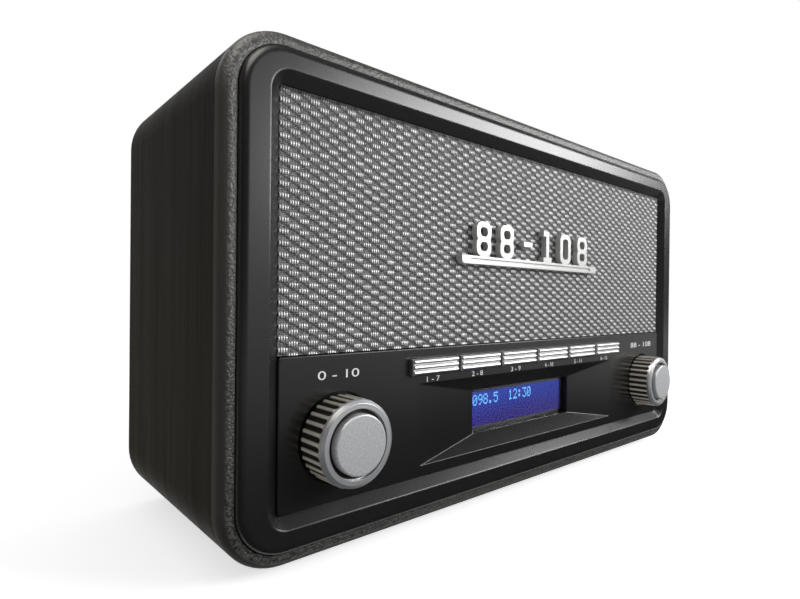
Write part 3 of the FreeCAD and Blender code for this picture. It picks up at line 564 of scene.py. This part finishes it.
class RadioMarks(bpy.types.PropertyGroup):
    """Printed and lit figures."""

    button_height: length("Button figures", "Height of the figures under the buttons", 1.9)
    button_drop: length("Button figures' drop", "From a button's lower edge to its figures", 0.9)
    knob_height: length("Knob figures", "Height of the figures over the knobs", 2.7)
    knob_rise: length("Knob figures' rise", "From a knob's edge to its figures", 5.0)
    ink_depth: length("Ink", "Thickness of the print", 0.03)
    dot: length("Display dot", "From one display dot to the next", 0.56)
    message: bpy.props.StringProperty(
        name="Message", description="Figures on the display", default="098.5  12:30"
    )


class RadioStage(bpy.types.PropertyGroup):
    """The camera's place, aim and lens."""

    eye: bpy.props.FloatVectorProperty(
        name="Camera", description="Where the camera stands",
        default=(-0.19593, -0.18014, 0.08063), subtype="TRANSLATION", unit="LENGTH",
    )
    yaw: angle("Yaw", "Turn from straight ahead to the right", 40.8)
    pitch: angle("Pitch", "Tilt upwards", -0.284)
    roll: angle("Roll", "Tilt of the horizon", 0.581)
    lens: bpy.props.FloatProperty(
        name="Lens", description="Focal length in millimetres", default=23.93, unit="CAMERA"
    )
    shift: bpy.props.FloatProperty(name="Shift", description="Upward lens shift", default=0.0056)


# Operators

def values(context):
    """The groups of sizes and colours."""
    scene = context.scene
    return scene.radio_finish, scene.radio_weave, scene.radio_marks, scene.radio_stage


class RADIO_OT_cabinet(bpy.types.Operator):
    """Finishes the wrapped cabinet, its trim and its feet"""

    bl_idname = "radio.cabinet"
    bl_label = "Cabinet"

    def execute(self, context):
        finish = values(context)[0]
        coat(wood_wrap(finish), "cabinet_shell")
        coat(pebbled_plastic(finish), "front_trim_frame")
        coat(raw_wood(), "corner_cleats")
        coat(soft_black("foot_rubber", (0.02, 0.02, 0.02), 0.8, 1.5, 0.03), "rubber_feet")
        return {"FINISHED"}


class RADIO_OT_front(bpy.types.Operator):
    """Finishes the bezel and the control panel"""

    bl_idname = "radio.front"
    bl_label = "Front"

    def execute(self, context):
        finish = values(context)[0]
        coat(black_plastic("bezel_satin", finish.bezel, 0.5, 0.275, 0.0005, 0.6), "front_bezel")
        coat(black_plastic("panel_satin", finish.panel, 0.5, 0.24, 0.003, 0.3), "control_panel")
        return {"FINISHED"}


class RADIO_OT_grille(bpy.types.Operator):
    """Weaves the grille cloth, whose bright threads float over grey ones in staggered clusters"""

    bl_idname = "radio.grille"
    bl_label = "Grille cloth"

    def execute(self, context):
        finish, weave, _, _ = values(context)
        low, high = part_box("grille_cloth")
        cloth = mesh_object(
            "woven_grille_cloth", *woven_sheet(weave, low, high), woven_cloth(finish, weave, low),
            "grille_weave", smooth=True,
        )
        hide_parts("grille_cloth")
        coat(black_plastic("inner_moulding", (0.01, 0.01, 0.01)), "grille_frame")
        return {"FINISHED"}


def floats(x, z, weave):
    """How far each place is into a bright float, from 0 to 1, and how far across its thread."""
    thread = x / weave.pitch
    number = np.floor(thread)
    across = thread - number - 0.5
    place = np.mod(number, 2 * weave.cluster)
    second = (place >= weave.cluster) * 1.0
    order = place - second * weave.cluster
    middle = (weave.cluster - 1) / 2
    half_float = FLOAT_HALF - FLOAT_STEP * np.abs(order - middle)
    phase = (z + order * weave.drop) / weave.repeat + 0.5 * second
    away = np.abs(phase - np.floor(phase) - 0.5)
    top = np.clip((half_float + FLOAT_DIVE - away) / (2 * FLOAT_DIVE), 0, 1)
    return top, across


def woven_sheet(weave, low, high):
    """A fine grid whose depth follows the threads."""
    columns = int(round((high.x - low.x) / weave.pitch * COLUMNS_PER_THREAD))
    rows = int(round((high.z - low.z) / weave.repeat * ROWS_PER_REPEAT))
    x = np.linspace(low.x, high.x, columns + 1)
    z = np.linspace(low.z, high.z, rows + 1)
    grid_x, grid_z = np.meshgrid(x, z)
    top, across = floats(grid_x - low.x, grid_z - low.z, weave)
    ridge = 1 - (2 * np.abs(across)) ** 2
    depth = weave.relief * (1 - RISE_SHARE * top - ROUND_SHARE * ridge * top)
    spots = np.stack([grid_x, low.y + depth, grid_z], axis=-1).reshape(-1, 3)
    corner = (np.arange(rows)[:, None] * (columns + 1) + np.arange(columns)[None, :]).reshape(-1)
    faces = np.stack([corner, corner + 1, corner + columns + 2, corner + columns + 1], axis=-1)
    return spots.tolist(), faces.tolist()


def woven_cloth(finish, weave, low):
    """The threads' colours in step with the relief, with painted shadow under clusters and bezel.
    """
    paint = Paint("woven_silver_cloth", {"Specular IOR Level": 0.5})
    x, _, z = paint.axes()
    thread = (x - low.x / MM) / (weave.pitch / MM)
    number = thread.floor()
    across = (thread.fract() - 0.5).absolute()
    place = (number / (2 * weave.cluster)).fract() * (2 * weave.cluster)
    second = place > weave.cluster - 0.5
    order = place - second * weave.cluster
    half_float = FLOAT_HALF - FLOAT_STEP * (order - (weave.cluster - 1) / 2).absolute()
    phase = (z - low.z / MM + order * (weave.drop / MM)) / (weave.repeat / MM) + 0.5 * second
    away = (phase.fract() - 0.5).absolute()
    top = (half_float - away).ramp(-FLOAT_DIVE, FLOAT_DIVE)
    strand = paint.noise((2.2, 2.2, 0.7), 2.0, 0.6)
    core = 1 - across.ramp(0.14, 0.4)
    bright = top * core
    rise = (z - low.z / MM) / (weave.repeat / MM)
    run = (x - low.x / MM) / (2 * weave.cluster * weave.pitch / MM)
    slant = (rise + run).fract()
    # Painted shadow: a dark slanting line under each cluster of floats
    cluster_shadow = 1 - (slant - 0.37).absolute().ramp(0.02, 0.17)
    weft_rows = ((z / 0.58 + 0.3 * strand).fract() - 0.5).absolute()
    speckle = paint.noise((2.4, 2.4, 2.0), 3.0, 0.8).ramp(0.36, 0.64)
    grey = (1 - 0.7 * weft_rows.ramp(0.1, 0.5)) * speckle * (1 - 0.7 * cluster_shadow)
    under = paint.mix(grey * (1 - 0.8 * top), finish.gap, finish.weft)
    uneven = paint.noise((0.35, 0.35, 0.5), 2.0).ramp(0.25, 0.75)
    pale = paint.mix(0.5 * strand + 0.5 * uneven, toned(finish.warp, 0.5), finish.warp)
    # Painted shadow of the bezel: the cloth's top edge turns to the dark between-thread colour
    bezel_shadow = z.ramp(*CLOTH_SHADE)
    paint.set("Base Color", paint.mix(bezel_shadow, paint.mix(bright, under, pale), finish.gap))
    paint.set("Roughness", 0.62 - 0.27 * bright)
    paint.set("Metallic", 0.35 * bright)
    paint.relief(0.7 * core + 0.3 * strand, 0.12, 0.8)
    return paint.material


class RADIO_OT_badge(bpy.types.Operator):
    """Plates the badge"""

    bl_idname = "radio.badge"
    bl_label = "Badge"

    def execute(self, context):
        finish = values(context)[0]
        plating = drawn_chrome("badge_plating", finish.plate, 0.3, (0.2, 0.6, 0.2), 0.18, 0.6)
        coat(plating, "front_badge")
        return {"FINISHED"}


class RADIO_OT_knobs(bpy.types.Operator):
    """Finishes the fluted knobs, their caps, shafts and encoders"""

    bl_idname = "radio.knobs"
    bl_label = "Knobs"

    def execute(self, context):
        finish = values(context)[0]
        coat(fluted_plating(finish), "volume_knob", "tuning_knob")
        cap = satin_metal("cap_blasted", finish.silver, 0.42, 1.6, 0.006, 0.3, 0.5)
        coat(cap, "volume_knob_cap", "tuning_knob_cap")
        steel = satin_metal("zinc_steel", (0.5, 0.5, 0.48), 0.35)
        coat(steel, "encoder_nuts", *nodes_like("_shaft", "_encoder"))
        coat(black_plastic("inner_plastic", (0.02, 0.02, 0.02)), "tuning_plunger")
        return {"FINISHED"}


class RADIO_OT_buttons(bpy.types.Operator):
    """Plates the ribbed push buttons"""

    bl_idname = "radio.buttons"
    bl_label = "Buttons"

    def execute(self, context):
        finish = values(context)[0]
        names = [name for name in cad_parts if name.startswith("button_")]
        plating = drawn_chrome("button_plating", finish.chrome, 0.3, (0.1, 0.6, 0.6), 0.12)
        coat(plating, *names)
        coat(black_plastic("switch_plastic", (0.02, 0.02, 0.02)), "tact_switches")
        return {"FINISHED"}


# Five by seven dots for each figure, as rows of bits from the top
DOTS = {
    "0": (14, 17, 19, 21, 25, 17, 14), "1": (4, 12, 4, 4, 4, 4, 14), "2": (14, 17, 1, 2, 4, 8, 31),
    "3": (31, 2, 4, 2, 1, 17, 14), "4": (2, 6, 10, 18, 31, 2, 2), "5": (31, 16, 30, 1, 1, 17, 14),
    "6": (6, 8, 16, 30, 17, 17, 14), "7": (31, 1, 2, 4, 8, 8, 8), "8": (14, 17, 17, 14, 17, 17, 14),
    "9": (14, 17, 17, 15, 1, 2, 12), ".": (0, 0, 0, 0, 0, 12, 12), ":": (0, 12, 12, 0, 12, 12, 0),
    " ": (0, 0, 0, 0, 0, 0, 0),
}


class RADIO_OT_display(bpy.types.Operator):
    """Lights the display and sets its figures in small dots"""

    bl_idname = "radio.display"
    bl_label = "Display"

    def execute(self, context):
        finish, _, marks, _ = values(context)
        coat(clear_acrylic(), "display_window")
        coat(black_plastic("mask_black", (0.006, 0.006, 0.007), 0.3), "display_frame")
        coat(lit_panel(finish), "display_glass")
        coat(glow("backlight_guide", finish.lit_field, 0.5), "display_backlight")
        low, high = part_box("display_glass")
        left, top = low.x + FIRST_DOT_IN, high.z - FIRST_DOT_DOWN
        dots = []
        for column, figure in enumerate(marks.message):
            for row, bits in enumerate(DOTS[figure]):
                for bit in range(DOT_COLUMNS):
                    if bits >> (DOT_COLUMNS - 1 - bit) & 1:
                        x = left + (column * (DOT_COLUMNS + 1) + bit) * marks.dot
                        z = top - row * marks.dot * ROW_STRETCH
                        dots.append((x, z - marks.dot, x + marks.dot * DOT_FILL, z))
        vertices, faces = slabs(dots, low.y - DOTS_FRONT, low.y - DOTS_BACK)
        lit = glow("lit_figures", finish.figures, 1.0)
        mesh_object("display_figures", vertices, faces, lit, "display_lcd")
        return {"FINISHED"}


def print_figures(name, text, centre, height, width, depth, material):
    """Printed figures centred on a place on the panel and drawn out to a width."""
    curve = bpy.data.curves.new(name, "FONT")
    curve.body = text
    curve.align_x = "CENTER"
    curve.size = height / CAPITAL_SHARE
    curve.resolution_u = 4
    draft = bpy.data.objects.new(name + "_draft", curve)
    bpy.context.collection.objects.link(draft)
    bpy.context.view_layer.update()
    mesh = bpy.data.meshes.new_from_object(draft)
    bpy.data.objects.remove(draft)
    spots = np.array([v.co for v in mesh.vertices])
    spread = spots[:, 0].max() - spots[:, 0].min()
    stretch = width / spread
    vertices = [(centre.x + x * stretch, centre.y - depth, centre.z + y) for x, y, _ in spots]
    faces = [tuple(p.vertices) for p in mesh.polygons]
    count = len(vertices)
    vertices += [(x, centre.y, z) for x, _, z in vertices]
    faces += [tuple(count + v for v in reversed(face)) for face in faces]
    rims = {}
    for face in faces[: len(faces) // 2]:
        for a, b in zip(face, face[1:] + face[:1]):
            rims[(a, b)] = True
    faces += [(b, a, a + count, b + count) for a, b in rims if (b, a) not in rims]
    return mesh_object(name, vertices, faces, material, "panel_plastic")


class RADIO_OT_marks(bpy.types.Operator):
    """Prints plain figures under the buttons and over the knobs"""

    bl_idname = "radio.marks"
    bl_label = "Printed figures"

    def execute(self, context):
        finish, _, marks, _ = values(context)
        ink = printed_ink(finish)
        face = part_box("control_panel")[0].y
        for number in range(1, BUTTONS + 1):
            low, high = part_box(f"button_{number}")
            visible_low = (low.z + high.z) / 2 - BUTTON_HALF_HEIGHT
            base = visible_low - marks.button_drop - marks.button_height
            spot = Vector(((low.x + high.x) / 2, face, base))
            print_figures(
                f"button_figures_{number}", f"{number} - {number + BUTTONS}", spot,
                marks.button_height, BUTTON_FIGURES_WIDTH, marks.ink_depth, ink,
            )
        for name, text, width in KNOB_FIGURES:
            low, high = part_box(name + "_knob")
            spot = Vector(((low.x + high.x) / 2, face, high.z + marks.knob_rise))
            print_figures(
                name + "_figures", text, spot, marks.knob_height, width, marks.ink_depth, ink
            )
        return {"FINISHED"}


class RADIO_OT_rear(bpy.types.Operator):
    """Finishes the rear cover, its screws, the sockets and the aerial"""

    bl_idname = "radio.rear"
    bl_label = "Rear and aerial"

    def execute(self, context):
        finish = values(context)[0]
        coat(black_plastic("rear_moulding", finish.cover, 0.35, 0.5, 0.05, 0.2), "rear_cover")
        coat(black_plastic("socket_plastic", (0.012, 0.012, 0.012), 0.5, 0.3), *nodes_like("_jack"))
        coat(satin_metal("blackened_screws", (0.16, 0.16, 0.17), 0.35), *nodes_like("_screws"))
        coat(black_plastic("turntable_plastic", (0.02, 0.02, 0.02), 0.5, 0.25), "antenna_fork")
        chrome = drawn_chrome("aerial_chrome", finish.chrome, 0.1, (0.05, 4.0, 4.0), 0.1)
        tubes = [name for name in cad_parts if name.startswith("antenna_section")]
        coat(chrome, "antenna_elbow", *tubes)
        coat(satin_metal("pin_steel", (0.6, 0.6, 0.6)), "antenna_hinge_pin", "antenna_retainer")
        return {"FINISHED"}


class RADIO_OT_insides(bpy.types.Operator):
    """Finishes the drivers, boards and what is on them"""

    bl_idname = "radio.insides"
    bl_label = "Insides"

    def execute(self, context):
        coat(soft_black("baffle_paint", (0.03, 0.028, 0.026), 0.7, 1.2, 0.06), "speaker_baffle")
        pulp = soft_black("cone_pulp", (0.03, 0.03, 0.03), 0.85, 2.5, 0.05)
        coat(pulp, "speaker_dust_caps", *nodes_like("_cone"))
        rubber = soft_black("surround_rubber", (0.015, 0.015, 0.015), 0.6, 1.0, 0.01)
        coat(rubber, *nodes_like("_surround"))
        coat(soft_black("ferrite", (0.05, 0.05, 0.055), 0.6, 2.0, 0.03), "speaker_magnets")
        painted = satin_metal("basket_paint", (0.05, 0.05, 0.05), 0.45, 1.0, 0.01, 0.2, 0.3)
        coat(painted, *nodes_like("_basket"))
        coat(circuit_board(), "main_board", "control_board")
        cans = satin_metal("component_cans", (0.45, 0.46, 0.48), 0.3)
        coat(cans, "board_components", "board_standoffs")
        return {"FINISHED"}


def light_path(paint):
    """1 for a ray from the camera or from a reflecting or clear surface, and 0 for any other."""
    node = paint.add("ShaderNodeLightPath")
    names = ("Is Camera Ray", "Is Glossy Ray", "Is Transmission Ray")
    seen, glossy, clear = (Term(paint, node.outputs[name]) for name in names)
    return seen.most(glossy).most(clear)


def matt(name, look=(0.8, 0.8, 0.8)):
    """A flat colour with no gloss."""
    return Paint(name, {"Base Color": (*look, 1), "Roughness": 1, "Specular IOR Level": 0})


def overhead_glow(name):
    """A warm light over the left."""
    return Paint(name, {"Emission Color": (1.0, 0.95, 0.86, 1), "Emission Strength": 5.0})


def grey_with_painted_shadow(name):
    """A matt grey that darkens towards the radio: painted shadow and painted reflection of the
    radio.
    """
    paint = matt(name)
    _, y, _ = paint.axes()
    # Painted shadow and painted reflection of the radio on the table, seen only in reflections
    painted_radio_shadow = y.ramp(*TABLE_FADE)
    paint.set("Base Color", paint.mix(painted_radio_shadow, (0.55, 0.55, 0.55), (0.02, 0.02, 0.02)))
    return paint


# Cards that only reflections see: a matt colour or how they are made, one corner, and the two
# edges from it
CARDS = (
    ("front_flag", (0.03, 0.03, 0.03), (-0.9, -1.6, 0), (1.2, 0, 0), (0, 0, 1.8)),
    ("left_flag", (0.34, 0.31, 0.26), (-0.9, -0.25, 0), (0, 3.45, 0), (0, 0, 1.9)),
    ("left_front_flag", (0.01, 0.01, 0.01), (-0.9, -1.6, 0), (0, 1.35, 0), (0, 0, 1.9)),
    ("key_surround", (0.04, 0.04, 0.04), (1.1, -2.2, 0), (1.6, 1.9, 0), (-0.45, 0.4, 2.4)),
    ("overhead_panel", overhead_glow, (-0.85, -0.9, 1.0), (0.7, 0, 0), (0, 0.9, 0.5)),
    ("upper_flag", (0.25, 0.25, 0.25), (0.1, -1.5, 1.6), (1.8, 0, 0), (0, 3.5, 0)),
    ("table_flag", grey_with_painted_shadow, (-1.2, -3, 0.001), (4.2, 0, 0), (0, 2.957, 0)),
    ("side_table_flag", (1.0, 0.94, 0.78), (-0.9, -0.043, 0.001), (0.755, 0, 0), (0, 3.2, 0)),
)


def stage_card(name, corner, side, rise, paint):
    """A card that only reflections see, spanned by two edges from one corner."""
    corner, side, rise = Vector(corner), Vector(side), Vector(rise)
    mesh = bpy.data.meshes.new(name)
    corners = [corner, corner + side, corner + side + rise, corner + rise]
    mesh.from_pydata(corners, [], [(0, 1, 2, 3)])
    mesh.materials.append(paint.material)
    card = bpy.data.objects.new(name, mesh)
    bpy.context.collection.objects.link(card)
    for kind in ("camera", "diffuse", "transmission", "volume_scatter", "shadow"):
        setattr(card, "visible_" + kind, False)


def softbox(name, azimuth, elevation, distance, size, power, target):
    """A rectangular lamp, whose azimuth 0 is straight ahead of the front."""
    data = bpy.data.lights.new(name, "AREA")
    data.shape = "RECTANGLE"
    data.size, data.size_y = size
    data.energy = power
    lamp = bpy.data.objects.new(name, data)
    bpy.context.collection.objects.link(lamp)
    flat = math.cos(elevation)
    way = Vector((math.sin(azimuth) * flat, -math.cos(azimuth) * flat, math.sin(elevation)))
    lamp.location = target + way * distance
    lamp.rotation_euler = way.to_track_quat("Z", "Y").to_euler()
    lamp.visible_camera = False


class RADIO_OT_stage(bpy.types.Operator):
    """Sets the camera, the lamp, the floor, the white surroundings and the reflection cards"""

    bl_idname = "radio.stage"
    bl_label = "Stage"
    lift: bpy.props.FloatProperty(
        name="Lift", description="How much whiter the floor looks than it is", default=0.62
    )

    def execute(self, context):
        self.camera(context, values(context)[3])
        self.floor()
        self.world(context)
        middle = Vector((0, CAD_LOW.y, KEY_AIM_HEIGHT))
        azimuth, elevation = math.radians(KEY_AZIMUTH), math.radians(KEY_ELEVATION)
        softbox("key_softbox", azimuth, elevation, KEY_DISTANCE, KEY_SIZE, KEY_POWER, middle)
        for name, look, corner, side, rise in CARDS:
            paint = look(name) if callable(look) else matt(name, look)
            stage_card(name, corner, side, rise, paint)
        return {"FINISHED"}

    def camera(self, context, stage):
        data = bpy.data.cameras.new("camera")
        data.lens = stage.lens
        data.sensor_width = SENSOR_WIDTH
        data.shift_y = stage.shift
        data.clip_start, data.clip_end = 0.01, 100
        camera = bpy.data.objects.new("camera", data)
        context.collection.objects.link(camera)
        flat = math.cos(stage.pitch)
        ahead = Vector((
            math.sin(stage.yaw) * flat, math.cos(stage.yaw) * flat, math.sin(stage.pitch),
        ))
        level = Vector((math.cos(stage.yaw), -math.sin(stage.yaw), 0))
        upright = level.cross(ahead)
        right = math.cos(stage.roll) * level + math.sin(stage.roll) * upright
        up = -math.sin(stage.roll) * level + math.cos(stage.roll) * upright
        turn = Matrix((right, up, -ahead)).transposed().to_4x4()
        camera.matrix_world = Matrix.Translation(stage.eye) @ turn
        context.scene.camera = camera

    def floor(self):
        """A pale floor that keeps the shadow near the radio and fades to plain white."""
        reach = FLOOR_REACH
        corners = [(-reach, -reach, 0), (reach, -reach, 0), (reach, reach, 0), (-reach, reach, 0)]
        mesh = bpy.data.meshes.new("floor")
        mesh.from_pydata(corners, [], [(0, 1, 2, 3)])
        paint = matt("floor_white", (0.9, 0.9, 0.9))
        seen = light_path(paint)
        x, y, _ = paint.axes()
        far = ((x * x + y * y) ** 0.5).ramp(*FLOOR_FADE)
        shaded = Term(paint, paint.shader.outputs[0])
        plain, lifted = (
            paint.joined("Emission", {"Color": WHITE, "Strength": strength})
            for strength in (1.0, self.lift)
        )
        near = paint.joined("AddShader", {0: shaded, 1: lifted})
        lit = paint.joined("MixShader", {0: seen, 1: shaded, 2: near})
        both = paint.joined("MixShader", {0: seen * far, 1: lit, 2: plain})
        output = paint.tree.nodes["Material Output"]
        paint.tree.links.new(both.socket, output.inputs["Surface"])
        mesh.materials.append(paint.material)
        floor = bpy.data.objects.new("floor", mesh)
        bpy.context.collection.objects.link(floor)

    def world(self, context):
        paint = Surroundings("white_surroundings")
        context.scene.world = paint.world
        context.scene.view_settings.view_transform = "Standard"
        paint.set("Strength", AMBIENT + (1 - AMBIENT) * light_path(paint))


STEPS = (
    "cabinet", "front", "grille", "badge", "knobs", "buttons", "display", "marks", "rear",
    "insides", "stage",
)


class RADIO_PT_panel(bpy.types.Panel):
    """The radio's pieces and their sizes"""

    bl_idname = "RADIO_PT_panel"
    bl_label = "Radio"
    bl_space_type = "VIEW_3D"
    bl_region_type = "UI"
    bl_category = "Radio"

    def draw(self, context):
        for step in STEPS:
            self.layout.operator("radio." + step)
        for group in values(context):
            box = self.layout.box()
            for name in group.bl_rna.properties.keys():
                if name not in ("rna_type", "name"):
                    box.prop(group, name)


GROUPS = {
    "radio_finish": RadioFinish,
    "radio_weave": RadioWeave,
    "radio_marks": RadioMarks,
    "radio_stage": RadioStage,
}
CLASSES = (
    *GROUPS.values(), RADIO_OT_cabinet, RADIO_OT_front, RADIO_OT_grille, RADIO_OT_badge,
    RADIO_OT_knobs, RADIO_OT_buttons, RADIO_OT_display, RADIO_OT_marks, RADIO_OT_rear,
    RADIO_OT_insides, RADIO_OT_stage, RADIO_PT_panel,
)


def register():
    for entry in CLASSES:
        bpy.utils.register_class(entry)
    for name, group in GROUPS.items():
        setattr(bpy.types.Scene, name, bpy.props.PointerProperty(type=group))


def unregister():
    for name in GROUPS:
        delattr(bpy.types.Scene, name)
    for entry in reversed(CLASSES):
        bpy.utils.unregister_class(entry)


def main():
    register()
    for step in STEPS:
        getattr(bpy.ops.radio, step)()


if __name__ == "__main__":
    main()
